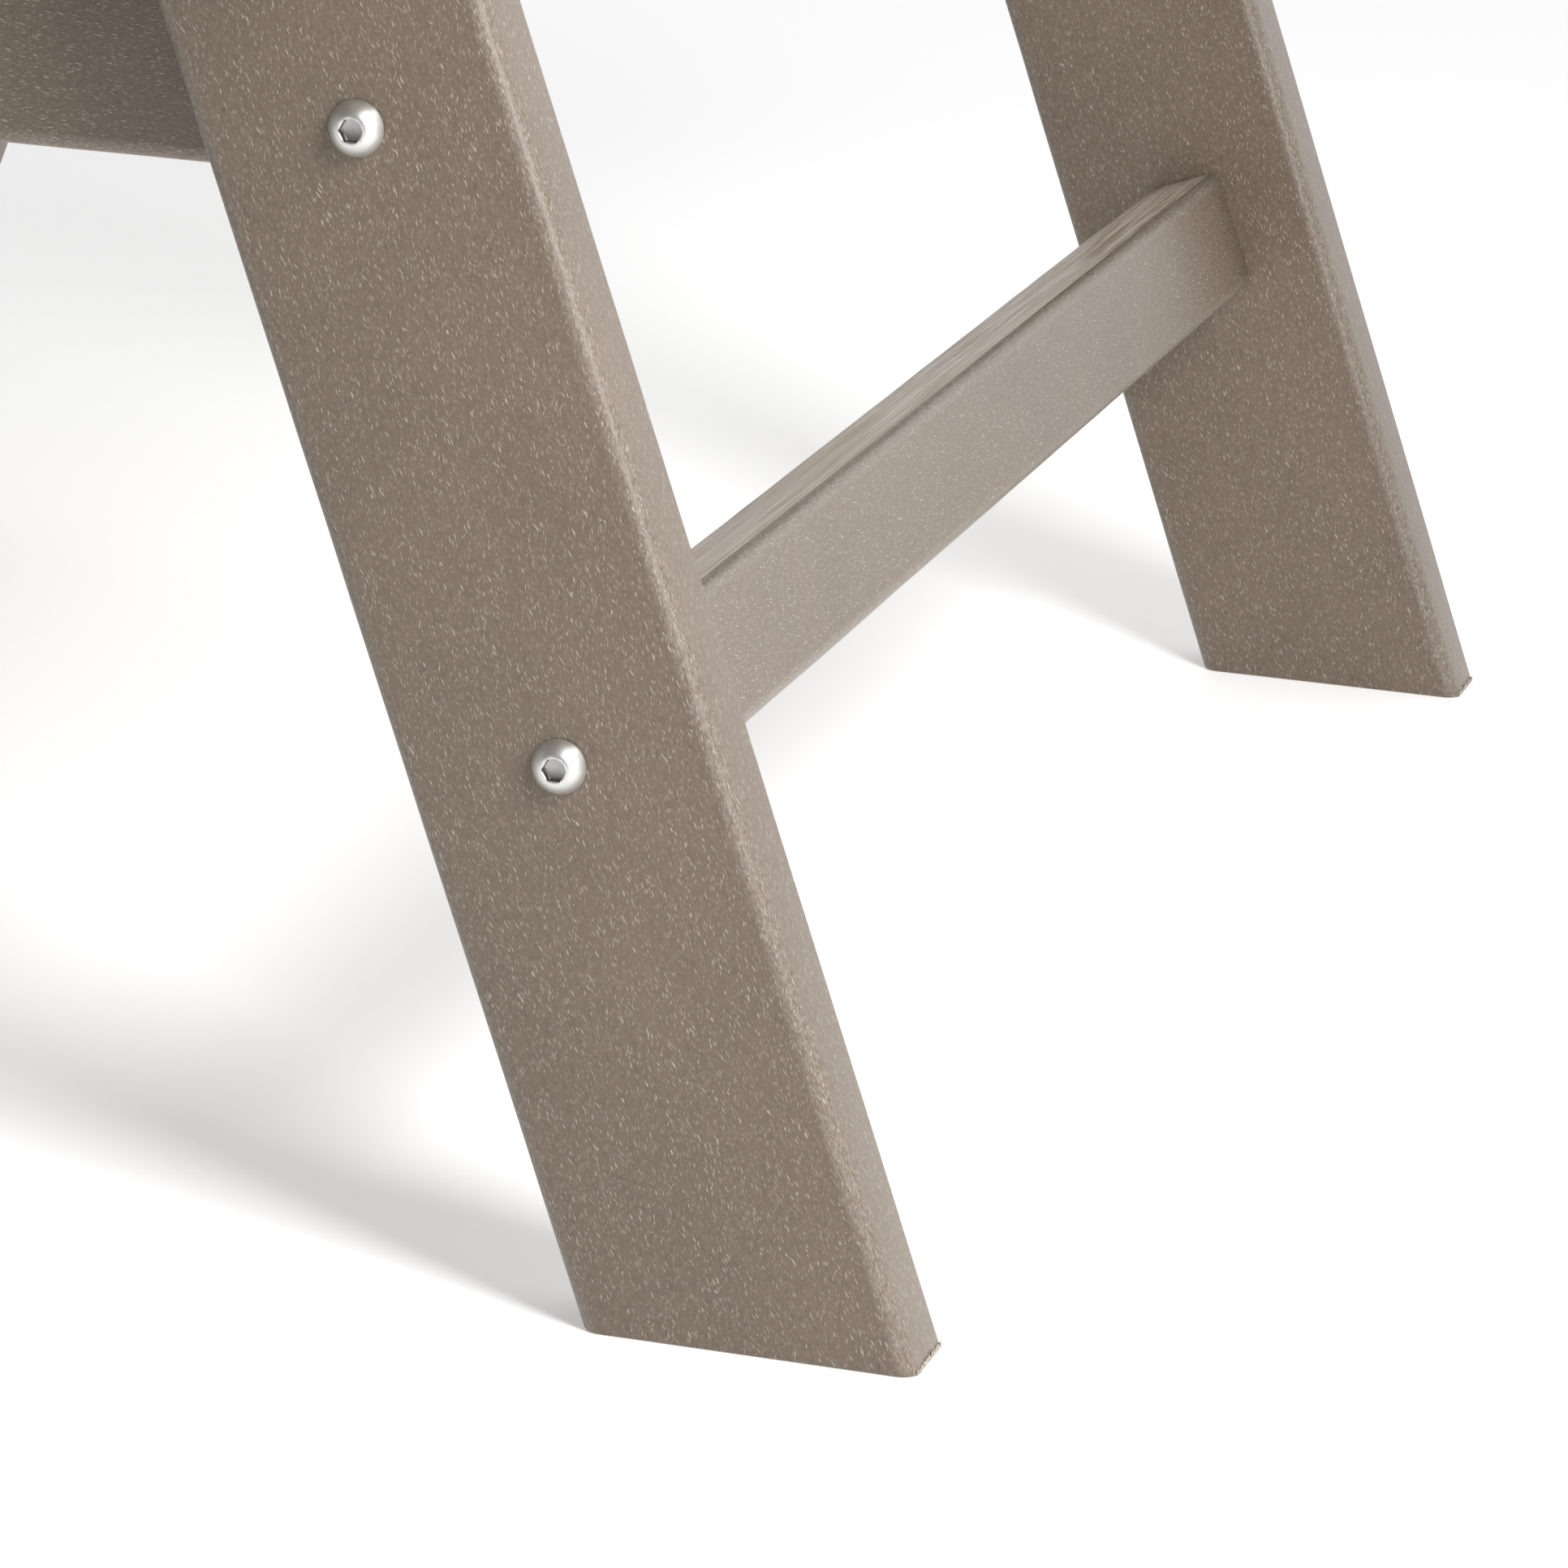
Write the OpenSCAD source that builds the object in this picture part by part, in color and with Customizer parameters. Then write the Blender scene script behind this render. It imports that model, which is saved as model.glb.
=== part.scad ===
/* [Table] */
// Height of the tabletop above the ground
table_h = 750; // [680:5:900]
// Length of the tabletop
top_len = 1500; // [1250:10:1800]
// Number of deck planks side by side
plank_count = 7; // [5:1:8]
// Gap between neighbouring planks
plank_gap = 7; // [4:1:10]
// Distance between the outer edges of the feet of one end frame
foot_spread = 970; // [805:5:1165]
// Lean of the legs from upright, in degrees
lean = 20; // [14:0.5:22]
// How far the deck stands out past each end frame
end_overhang = 245; // [200:5:300]
// Open height between the deck and the cross board
knee_gap = 180; // [150:5:216]
// Height of the stretcher's centre line above the ground
stretcher_z = 214; // [175:1:257]

/* [Boards] */
// Width of the stock board
board_w = 120; // [100:1:144]
// Thickness of the stock board
board_t = 40; // [34:1:48]
// Radius of the moulded long edges
edge_r = 7; // [3:0.5:9]
// Width of the rail, the narrow board of stretchers, battens and braces
rail_w = 58; // [52:1:70]
// Distance from the slanted end of a cross board to the leg's outer edge
cross_setback = 22; // [18:1:30]
// Distance from a batten's end to the edge of the deck
batten_setback = 30; // [20:1:60]
// Size of the bevel under each batten end
batten_bevel = 25; // [10:1:30]
// Distance of the frame bolts from the long edges of a cross board
cross_bolt_edge = 28; // [23:1:34]
// Height of the bolts above the low face of the end battens
batten_bolt_up = 19; // [16:1:22]
// Play between a brace and the centre line of the table
brace_offset = 2; // [1:0.5:4]

/* [Bolts] */
// Diameter of the bolts
bolt_d = 12; // [10:0.5:14]
// Diameter of the domed bolt head
head_d = 21; // [17.5:0.5:25]
// Height of the domed bolt head
head_h = 6.6; // [5.5:0.1:7.9]
// Diameter of the small flat on top of the dome
head_flat_d = 11.2; // [10.6:0.1:12]
// Width across the flats of the hexagon socket
socket_af = 8; // [6:0.5:9]
// Depth of the hexagon socket
socket_depth = 4.2; // [3:0.1:5]
// How much wider than its bolt a hole in a board is
hole_play = 1; // [0.5:0.1:2]
// How much wider than its bolt a nut's bore is
nut_play = 0.1; // [0.05:0.01:0.2]
// Outer diameter of a washer
washer_d = 24; // [20:0.5:30]
// Thickness of a washer
washer_t = 2.5; // [2:0.1:3]
// Width across the flats of a nut
nut_af = 18; // [16:0.5:21]
// Height of a nut
nut_h = 12; // [10:0.5:14]
// Length of bolt that stands out of its nut
bolt_tip = 5.5; // [2:0.5:8]
// Diameter of a barrel nut
barrel_d = 20; // [17:0.5:24]
// How much wider than the barrel nut its hole is
barrel_play = 0.2; // [0.1:0.1:0.5]
// Distance from the stretcher's end to the barrel nut's centre
barrel_inset = 70; // [58:1:84]
// Wood left between a barrel nut's hole and the stretcher's outer face
barrel_skin = 4; // [3:0.5:6]

/* [Screws] */
// Diameter of the screws
screw_d = 6; // [5:0.1:7]
// Diameter of the countersunk screw head
screw_head_d = 12; // [10:0.5:14]
// How far a screw head lies below the surface
screw_sink = 0.6; // [0.2:0.1:1]
// Length of the screws
screw_len = 70; // [58:1:72]
// How much wider than its screw a hole is
screw_play = 0.2; // [0.1:0.1:0.4]
// Diameter of the cross recess's outer reach
recess_d = 6; // [4:0.5:7]

/* [Hidden] */
$fn = 64;
NEAR = -1;
FAR = 1;
LEFT = -1;
RIGHT = 1;
MARGIN = 1;
plank_ids = [for (i = [1 : plank_count]) str("plank_", i)];

// Overall sizes that follow from the driving ones
top_w = plank_count * board_w + (plank_count - 1) * plank_gap;
under_top = table_h - board_t;
frame_span = top_len - 2 * end_overhang;
reach = top_len + foot_spread;

// Heights of the boards that lie under the deck
batten_low = under_top - rail_w;
batten_mid = under_top - rail_w / 2;
cross_low = under_top - knee_gap - board_w;
cross_mid = cross_low + board_w / 2;

// Depths of the end frame, counted from its outer face at y_out inwards
y_out = -frame_span / 2;
y_cross = y_out + board_t;
y_in = y_cross + board_t;
stretcher_len = frame_span - 2 * board_t;
batten_len = top_w - 2 * batten_setback;

// Bolts and screws
frame_bolt_len = 2 * board_t + washer_t + nut_h + bolt_tip;
stretcher_bolt_len = board_t + barrel_inset + barrel_d / 2 + bolt_tip;
cross_bolt_heights = [cross_low + cross_bolt_edge, cross_low + board_w - cross_bolt_edge];
batten_bolt_z = batten_low + batten_bolt_up;
frame_bolt_heights = concat(cross_bolt_heights, [batten_bolt_z]);
head_cone_h = (screw_head_d - screw_d) / 2;
dome_drop = ((head_d / 2) ^ 2 - (head_flat_d / 2) ^ 2 - head_h ^ 2) / (2 * head_h);
dome_r = norm([head_d / 2, dome_drop]);
deck_screw_x = [
    for (i = [0 : plank_count - 1], side = [LEFT, RIGHT])
        plank_x(i) + side * board_w / 4
];

// The braces run from the cross board's inner face to the centre batten
brace_start = [y_in, cross_mid];
brace_end = [-board_t / 2, batten_mid];
brace_run = brace_end - brace_start;
brace_slope = atan2(brace_run[1], brace_run[0]);
brace_screw_x = [for (q = [1, 3]) brace_offset + q * rail_w / 4];
brace_screw_drop = -6;

HDPE = [0.53, 0.48, 0.43];
STEEL = [0.72, 0.72, 0.70];

// Centre of plank i across the table
function plank_x(i) = (i - (plank_count - 1) / 2) * (board_w + plank_gap);

// Centre line of a right leg across the table, at height z
function leg_x(z) = (foot_spread - board_w / cos(lean)) / 2 - z * tan(lean);

// Board section in the first quadrant, its four edges rounded
module section(w, t) {
    translate([0, edge_r])
        square([w, t - 2 * edge_r]);
    translate([edge_r, 0])
        square([w - 2 * edge_r, t]);
    for (x = [edge_r, w - edge_r], y = [edge_r, t - edge_r])
        translate([x, y])
            circle(edge_r);
}

// A full board, length along z, width along x, thickness along y
module board(length) {
    linear_extrude(length)
        section(board_w, board_t);
}

// A rail on edge, length along z, thickness along x, width along y
module rail(length) {
    linear_extrude(length)
        section(board_t, rail_w);
}

// Things modelled for the near right corner, put at any of the four corners
module at_corner(side, end) {
    mirror([side == LEFT ? 1 : 0, 0, 0])
        mirror([0, end == FAR ? 1 : 0, 0])
            children();
}

// Things that point along +z, turned to point into the frame at height z on the leg's centre line
module into_frame(z) {
    translate([leg_x(z), y_out, z])
        rotate([-90, 0, 0])
            children();
}

module domed_head() {
    difference() {
        intersection() {
            translate([0, 0, -dome_drop])
                sphere(dome_r);
            cylinder(d = head_d + MARGIN, h = head_h);
        }
        translate([0, 0, head_h - socket_depth])
            cylinder(d = socket_af / cos(30), h = socket_depth + MARGIN, $fn = 6);
    }
}

// A bolt whose head sits on z = 0 and whose shank points along +z
module bolt(length) {
    color(STEEL) {
        mirror([0, 0, 1])
            domed_head();
        cylinder(d = bolt_d, h = length);
    }
}

module bolt_hole(length) {
    translate([0, 0, -MARGIN])
        cylinder(d = bolt_d + hole_play, h = length + MARGIN);
}

// Outline of a screw as a solid, grown by play; its head's top lies screw_sink below z = 0, point along -z
module screw_shape(play, length) {
    translate([0, 0, -screw_sink - head_cone_h])
        cylinder(d1 = screw_d + play, d2 = screw_head_d + play, h = head_cone_h);
    translate([0, 0, -length])
        cylinder(d = screw_d + play, h = length - screw_sink - head_cone_h);
}

module screw() {
    color(STEEL)
        difference() {
            screw_shape(0, screw_len);
            for (turn = [0, 90])
                translate([0, 0, -screw_sink])
                    rotate([0, 0, turn])
                        cube([recess_d, recess_d / 5, recess_d / 1.5], center = true);
        }
}

// The hole of a screw through one board and into the next
module screw_hole() {
    screw_shape(screw_play, screw_len + MARGIN);
    translate([0, 0, -screw_sink])
        cylinder(d = screw_head_d + screw_play, h = screw_sink + MARGIN);
}

// Every deck screw position over the batten at depth y
module over_batten(y) {
    for (x = deck_screw_x)
        translate([x, y, table_h])
            children();
}

// Middle of the end battens along the table
function batten_y(end) = -end * (y_cross + board_t / 2);

// The two screws at one end of the near brace, modelled pointing along -z and turned to run towards +y
module at_brace_foot() {
    for (x = brace_screw_x)
        translate([x, y_cross, cross_mid - brace_screw_drop])
            rotate([90, 0, 0])
                children();
}

// The same at its head, driven from the far side of the centre batten towards -y
module at_brace_head() {
    for (x = brace_screw_x)
        translate([x, board_t / 2, batten_mid + brace_screw_drop])
            rotate([-90, 0, 0])
                children();
}

// The far brace is the near one turned half round
module at_brace(end) {
    rotate([0, 0, end == FAR ? 180 : 0])
        children();
}

module leg(side, end) {
    stock = under_top / cos(lean) + 2 * board_w * tan(lean);
    color(HDPE)
        at_corner(side, end)
            difference() {
                intersection() {
                    translate([foot_spread / 2, y_out, 0])
                        rotate([0, -lean, 0])
                            translate([-board_w, 0, -board_w * tan(lean) / 2])
                                board(stock);
                    translate([-reach / 2, -reach / 2, 0])
                        cube([reach, reach, under_top]);
                }
                for (z = concat(frame_bolt_heights, [stretcher_z]))
                    into_frame(z)
                        bolt_hole(board_t + MARGIN);
            }
}

// Half space inside the slanted end of a cross board
module cross_end_cut(side) {
    at_corner(side, NEAR)
        translate([foot_spread / 2 - cross_setback / cos(lean), -reach / 2, 0])
            rotate([0, -lean, 0])
                translate([0, 0, -board_w])
                    cube([reach, reach, reach]);
}

module cross_board(end) {
    color(HDPE)
        difference() {
            at_corner(RIGHT, end)
                translate([-foot_spread / 2, y_cross, cross_low + board_w])
                    rotate([0, 90, 0])
                        board(foot_spread);
            for (side = [LEFT, RIGHT])
                cross_end_cut(side);
            for (side = [LEFT, RIGHT], z = cross_bolt_heights)
                at_corner(side, end)
                    into_frame(z)
                        bolt_hole(2 * board_t + MARGIN);
            at_brace(end)
                at_brace_foot()
                    screw_hole();
        }
}

module top_batten(y) {
    bevel = batten_bevel * sqrt(2);
    color(HDPE)
        difference() {
            translate([-batten_len / 2, y - board_t / 2, batten_low])
                rotate([90, 0, 90])
                    rail(batten_len);
            for (side = [LEFT, RIGHT])
                translate([side * batten_len / 2, y, batten_low])
                    rotate([0, 45, 0])
                        cube([bevel, 2 * board_t, bevel], center = true);
            over_batten(y)
                screw_hole();
        }
}

module end_batten(end) {
    difference() {
        top_batten(batten_y(end));
        for (side = [LEFT, RIGHT])
            at_corner(side, end)
                into_frame(batten_bolt_z)
                    bolt_hole(2 * board_t + MARGIN);
    }
}

module centre_batten() {
    difference() {
        top_batten(0);
        for (end = [NEAR, FAR])
            at_brace(end)
                at_brace_head()
                    screw_hole();
    }
}

module stretcher(side) {
    color(HDPE)
        at_corner(side, NEAR)
            translate([leg_x(stretcher_z), 0, stretcher_z])
                rotate([0, -lean, 0])
                    difference() {
                        translate([-board_t / 2, stretcher_len / 2, -rail_w / 2])
                            rotate([90, 0, 0])
                                rail(stretcher_len);
                        for (end = [NEAR, FAR])
                            at_corner(RIGHT, end)
                                translate([0, -stretcher_len / 2, 0])
                                    stretcher_end_holes();
                    }
}

// Holes for the bolt and its barrel nut at the end of a stretcher, which lies at y = 0
module stretcher_end_holes() {
    rotate([-90, 0, 0])
        bolt_hole(stretcher_bolt_len - board_t + MARGIN);
    translate([board_t / 2 - barrel_skin, barrel_inset, 0])
        rotate([0, -90, 0])
            cylinder(d = barrel_d + barrel_play, h = board_t);
}

// A barrel nut stands across the stretcher, flush inside its hole
module barrel_nut(side, end) {
    length = board_t - 2 * barrel_skin;
    color(STEEL)
        at_corner(side, end)
            translate([leg_x(stretcher_z), y_cross + barrel_inset, stretcher_z])
                rotate([0, -lean, 0])
                    difference() {
                        rotate([0, 90, 0])
                            cylinder(d = barrel_d, h = length, center = true);
                        rotate([90, 0, 0])
                            cylinder(d = bolt_d + nut_play, h = barrel_d + MARGIN, center = true);
                    }
}

// A brace is a rail laid flat, both ends cut upright to sit on its neighbours
module brace(end) {
    length = norm(brace_run) + 2 * rail_w;
    color(HDPE)
        at_brace(end)
            difference() {
                intersection() {
                    translate([brace_offset, brace_start[0], brace_start[1]])
                        rotate([brace_slope, 0, 0])
                            translate([0, -rail_w, board_t / 2])
                                rotate([-90, 0, 0])
                                    flat_rail(length);
                    translate([-reach / 2, y_in, 0])
                        cube([reach, brace_run[0], reach]);
                }
                at_brace_foot()
                    screw_hole();
                at_brace_head()
                    screw_hole();
            }
}

// A rail laid flat, length along z, width along x, thickness along y
module flat_rail(length) {
    linear_extrude(length)
        section(rail_w, board_t);
}

module plank(i) {
    color(HDPE)
        difference() {
            translate([plank_x(i) - board_w / 2, top_len / 2, under_top])
                rotate([90, 0, 0])
                    board(top_len);
            for (y = [batten_y(NEAR), 0, batten_y(FAR)])
                for (side = [LEFT, RIGHT])
                    translate([plank_x(i) + side * board_w / 4, y, table_h])
                        screw_hole();
        }
}

module frame_bolts(end) {
    for (side = [LEFT, RIGHT], z = frame_bolt_heights)
        at_corner(side, end)
            into_frame(z)
                bolt(frame_bolt_len);
}

module frame_washers(end) {
    color(STEEL)
        for (side = [LEFT, RIGHT], z = frame_bolt_heights)
            at_corner(side, end)
                into_frame(z)
                    translate([0, 0, 2 * board_t])
                        difference() {
                            cylinder(d = washer_d, h = washer_t);
                            translate([0, 0, -MARGIN])
                                cylinder(d = bolt_d + hole_play, h = washer_t + 2 * MARGIN);
                        }
}

module frame_nuts(end) {
    color(STEEL)
        for (side = [LEFT, RIGHT], z = frame_bolt_heights)
            at_corner(side, end)
                into_frame(z)
                    translate([0, 0, 2 * board_t + washer_t])
                        difference() {
                            cylinder(d = nut_af / cos(30), h = nut_h, $fn = 6);
                            translate([0, 0, -MARGIN])
                                cylinder(d = bolt_d + nut_play, h = nut_h + 2 * MARGIN);
                        }
}

module stretcher_bolts() {
    for (side = [LEFT, RIGHT], end = [NEAR, FAR])
        at_corner(side, end)
            into_frame(stretcher_z)
                bolt(stretcher_bolt_len);
}

module barrel_nuts() {
    for (side = [LEFT, RIGHT], end = [NEAR, FAR])
        barrel_nut(side, end);
}

module brace_screws() {
    for (end = [NEAR, FAR])
        at_brace(end) {
            at_brace_foot()
                screw();
            at_brace_head()
                screw();
        }
}

leg(LEFT, NEAR);  // leg_near_left
leg(RIGHT, NEAR);  // leg_near_right
leg(LEFT, FAR);  // leg_far_left
leg(RIGHT, FAR);  // leg_far_right
cross_board(NEAR);  // cross_board_near
cross_board(FAR);  // cross_board_far
stretcher(LEFT);  // stretcher_left
stretcher(RIGHT);  // stretcher_right
end_batten(NEAR);  // top_batten_near
centre_batten();  // top_batten_centre
end_batten(FAR);  // top_batten_far
brace(NEAR);  // brace_near
brace(FAR);  // brace_far
for (i = [0 : plank_count - 1])
    plank(i);
frame_bolts(NEAR);  // frame_bolts_near
frame_washers(NEAR);  // frame_washers_near
frame_nuts(NEAR);  // frame_nuts_near
frame_bolts(FAR);  // frame_bolts_far
frame_washers(FAR);  // frame_washers_far
frame_nuts(FAR);  // frame_nuts_far
stretcher_bolts();
barrel_nuts();
over_batten(batten_y(NEAR)) screw();  // deck_screws_near
over_batten(0) screw();  // deck_screws_centre
over_batten(batten_y(FAR)) screw();  // deck_screws_far
brace_screws();
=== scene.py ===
"""Finished look of a picnic table of recycled-plastic boards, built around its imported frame."""

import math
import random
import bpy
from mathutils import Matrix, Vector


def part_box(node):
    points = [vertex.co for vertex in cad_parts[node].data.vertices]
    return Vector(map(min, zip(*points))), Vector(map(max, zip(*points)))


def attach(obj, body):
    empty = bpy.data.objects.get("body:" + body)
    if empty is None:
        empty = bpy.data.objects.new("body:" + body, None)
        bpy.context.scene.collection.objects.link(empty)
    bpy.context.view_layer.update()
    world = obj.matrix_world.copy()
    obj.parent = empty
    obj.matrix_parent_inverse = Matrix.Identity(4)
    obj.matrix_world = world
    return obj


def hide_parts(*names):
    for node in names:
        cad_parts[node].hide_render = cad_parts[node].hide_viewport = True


bl_info = {
    "name": "Picnic Table",
    "version": (1, 0, 0),
    "blender": (4, 5, 0),
    "location": "View3D > Sidebar > Picnic Table",
    "description": "Boards, bolts, nuts and screws of a picnic table, with a plain studio stage",
    "category": "Add Mesh",
}

import bmesh
import bpy
from bpy.props import FloatProperty, FloatVectorProperty, PointerProperty
from mathutils import Matrix, Vector

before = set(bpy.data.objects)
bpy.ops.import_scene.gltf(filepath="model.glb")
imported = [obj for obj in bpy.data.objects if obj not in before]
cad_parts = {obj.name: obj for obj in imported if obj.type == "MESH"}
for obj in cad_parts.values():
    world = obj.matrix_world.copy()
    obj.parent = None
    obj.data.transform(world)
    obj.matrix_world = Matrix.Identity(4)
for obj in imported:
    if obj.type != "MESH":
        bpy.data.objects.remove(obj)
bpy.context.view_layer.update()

NEAR_FAR = ("near", "far")
LEFT_RIGHT = ("left", "right")
PLANKS = sorted(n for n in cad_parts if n.startswith("plank_"))
SIDE = {"left": -1.0, "right": 1.0, "near": -1.0, "far": 1.0}
MM = 0.001
UP = Vector((0, 0, 1))
ACROSS = Vector((1, 0, 0))
ALONG = Vector((0, 1, 0))
NOWHERE = Vector((0, 0, 0))


def size_of(node):
    """Extent of a CAD node along x, y and z."""
    low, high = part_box(node)
    return high - low


def middle_of(node):
    """Centre of a CAD node's box."""
    low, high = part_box(node)
    return (low + high) / 2


# ---------------------------------------------------------------- properties


def number(name, description, default, **settings):
    """A plain number as a property."""
    return FloatProperty(name=name, description=description, default=default, **settings)


def metres(name, description, default):
    """A length as a property, in metres."""
    return number(name, description, default, unit="LENGTH")


def angle(name, description, degrees):
    """An angle as a property, given in degrees."""
    return number(name, description, math.radians(degrees), subtype="ANGLE")


def colour(name, description, default):
    """A colour as a property."""
    kind = {"subtype": "COLOR", "size": 3}
    return FloatVectorProperty(name=name, description=description, default=default, **kind)


class BoardProperties(bpy.types.PropertyGroup):
    """Sizes of the boards that their boxes do not tell."""

    lean: angle("Leg lean", "Lean of the legs from upright", 20)
    edge_radius: metres("Edge radius", "Radius of the moulded long edges", 7 * MM)
    eased: metres("Eased cut", "Width of the worn edge round a saw cut", 0.9 * MM)
    batten_bevel: metres("Batten bevel", "Bevel under each batten end", 25 * MM)
    wander: metres("Wander", "How far the moulded skin sinks below flat", 0.45 * MM)


class PlasticProperties(bpy.types.PropertyGroup):
    """Colours and fleck sizes of the recycled plastic."""

    base: colour("Base", "Colour of the plastic", (0.132, 0.0985, 0.0700))
    pale: colour("Pale fleck", "Colour of the pale flecks", (0.46, 0.42, 0.36))
    # Pale streaks of the planed face: partly the cut face's own colour, partly painted sheen.
    planed: colour("Planed", "Colour of the pale streaks of a planed face", (0.54, 0.475, 0.41))
    # Colour of the painted highlight along the rounded long edges, and the real pale colour of the sawn
    # lip.
    scuffed: colour("Scuffed", "Colour of the rubbed edges", (0.44, 0.42, 0.39))
    dark: colour("Dark speck", "Colour of the dark specks", (0.055, 0.040, 0.028))
    fleck_length: metres("Fleck length", "Spacing of the flecks along a board", 5.5 * MM)
    fleck_width: metres("Fleck width", "Spacing of the flecks across a board", 0.80 * MM)


class FastenerProperties(bpy.types.PropertyGroup):
    """Sizes of the bolts, nuts and screws."""

    bolt_d: metres("Bolt", "Bolt diameter", 12 * MM)
    head_d: metres("Head", "Diameter of the domed head", 21 * MM)
    head_h: metres("Head height", "Height of the domed head", 6.6 * MM)
    flat_d: metres("Head flat", "Diameter of the flat on the dome", 11.2 * MM)
    socket_af: metres("Socket", "Width across the socket's flats", 8 * MM)
    socket_depth: metres("Socket depth", "Depth of the socket", 4.2 * MM)
    washer_d: metres("Washer", "Outer diameter of a washer", 24 * MM)
    nut_af: metres("Nut", "Width across the nut's flats", 18 * MM)
    pitch: metres("Thread pitch", "Pitch of the thread", 1.75 * MM)
    screw_d: metres("Screw", "Screw diameter", 6 * MM)
    screw_head_d: metres("Screw head", "Diameter of the screw head", 12 * MM)
    screw_sink: metres("Screw sink", "How deep a screw head lies", 0.6 * MM)
    barrel_d: metres("Barrel nut", "Diameter of a barrel nut", 20 * MM)


class StageProperties(bpy.types.PropertyGroup):
    """Camera, light and floor."""

    azimuth: angle("Azimuth", "How far the camera stands round to the right", 16.091)
    elevation: angle("Elevation", "How far the camera looks down", 16.601)
    roll: angle("Roll", "Turn of the camera about its axis", 2.186)
    distance: metres("Distance", "Camera to its aim", 2.5747)
    aim_height: metres("Aim height", "Height of the aim", 0.2113)
    aim_inset: metres("Aim inset", "Aim's distance inside the foot's outer edge", 0.0638)
    lens: number("Lens", "Focal length in millimetres on a 36 mm sensor", 165.7)
    floor_size: metres("Floor", "Side of the floor", 60.0)
    behind: number("Behind", "Brightness of the surround behind the table", 1.5)
    before: number("Before", "Brightness of the surround behind the viewer", 0.31)
    leftwards: number("Leftwards", "Share of the surround's brightness left on the left", 0.8)
    overhead: number("Overhead", "Share of that brightness left overhead", 0.45)
    floor_glow: number("Floor glow", "Light that the floor gives of its own", 0.30)
    key_power: number("Key light", "Power of the main soft light, in watts", 82.0)
    key_azimuth: angle("Key azimuth", "How far to the front of the right it stands", 34)
    key_elevation: angle("Key elevation", "Height of the main light", 40)
    key_distance: metres("Key distance", "Distance of the main light", 2.8)
    side_power: number("Side light", "Power of the low light on the right, in watts", 9.6)
    side_azimuth: angle("Side azimuth", "How far to the front of the right it stands", 28)
    side_elevation: angle("Side elevation", "Height of the side light", 13)
    side_distance: metres("Side distance", "Distance of the side light", 1.65)
    softness: number("Softness", "Side of a light's panel as a share of its distance", 0.32)


def props():
    """The scene's settings for the table."""
    return bpy.context.scene.picnic_table


# ---------------------------------------------------------------- shader maths


class Wire:
    """A shader value that can be used in Python expressions."""

    def __init__(self, graph, socket):
        self.graph = graph
        self.socket = socket

    def math(self, operation, *values):
        return self.graph.node("ShaderNodeMath", {"operation": operation}, *values)

    def __add__(self, other):
        return self.math("ADD", self, other)

    def __radd__(self, other):
        return self.math("ADD", other, self)

    def __sub__(self, other):
        return self.math("SUBTRACT", self, other)

    def __rsub__(self, other):
        return self.math("SUBTRACT", other, self)

    def __mul__(self, other):
        return self.math("MULTIPLY", self, other)

    def __rmul__(self, other):
        return self.math("MULTIPLY", other, self)

    def clamped(self):
        """The value kept between 0 and 1."""
        return self.graph.node("ShaderNodeClamp", {}, self)

    def ramp(self, low, high):
        """Smoothly 0 below low and 1 above high; the other way round when low is the larger."""
        if low > high:
            return 1 - self.ramp(high, low)
        settings = {"interpolation_type": "SMOOTHSTEP"}
        return self.graph.node("ShaderNodeMapRange", settings, self, low, high)


class Graph:
    """A node material that is being wired."""

    def __init__(self, name):
        self.material = bpy.data.materials.new(name)
        self.material.use_nodes = True
        self.tree = self.material.node_tree
        self.tree.nodes.clear()

    def node(self, kind, settings, *values, out=0, **named):
        """Adds a node, sets it up, feeds its sockets by order or by name, and returns one output."""
        made = self.tree.nodes.new(kind)
        for key, value in settings.items():
            setattr(made, key, value)
        feeds = [(made.inputs[i], v) for i, v in enumerate(values)]
        feeds += [(made.inputs[key.replace("_", " ")], v) for key, v in named.items()]
        for socket, value in feeds:
            if isinstance(value, Wire):
                self.tree.links.new(value.socket, socket)
            elif value is not None:
                socket.default_value = value
        return Wire(self, made.outputs[out]) if made.outputs else None

    def object_place(self):
        """Coordinates of the object itself."""
        return self.node("ShaderNodeTexCoord", {}, out=3)

    def mix(self, factor, a, b):
        """Colour a where factor is 0 and colour b where it is 1."""
        made = self.tree.nodes.new("ShaderNodeMix")
        made.data_type = "RGBA"
        for socket, value in ((made.inputs[0], factor), (made.inputs[6], a), (made.inputs[7], b)):
            if isinstance(value, Wire):
                self.tree.links.new(value.socket, socket)
            else:
                socket.default_value = value if isinstance(value, float) else (*value, 1.0)
        return Wire(self, made.outputs[2])

    def vector(self, operation, place, other):
        """Coordinates and another vector, combined axis by axis."""
        return self.node("ShaderNodeVectorMath", {"operation": operation}, place, other)

    def noise(self, place, scale, detail=2.0, roughness=0.5, out=0):
        """Noise at one scale, or with a scale of its own along each axis."""
        if isinstance(scale, tuple):
            place, scale = self.vector("MULTIPLY", place, scale), 1.0
        amounts = {"Scale": scale, "Detail": detail, "Roughness": roughness}
        return self.node("ShaderNodeTexNoise", {}, place, out=out, **amounts)

    def bump(self, height, strength, distance):
        """Relief that the light sees: distance is its full depth in metres."""
        return self.node("ShaderNodeBump", {}, Strength=strength, Distance=distance, Height=height)

    def finish(self, **sockets):
        """Ends the material in one Principled shader."""
        shader = self.node("ShaderNodeBsdfPrincipled", {}, **sockets)
        self.node("ShaderNodeOutputMaterial", {}, shader)
        return self.material


def toned(tint, factor):
    """A colour made lighter or darker."""
    return tuple(c * factor for c in tint)


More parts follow.
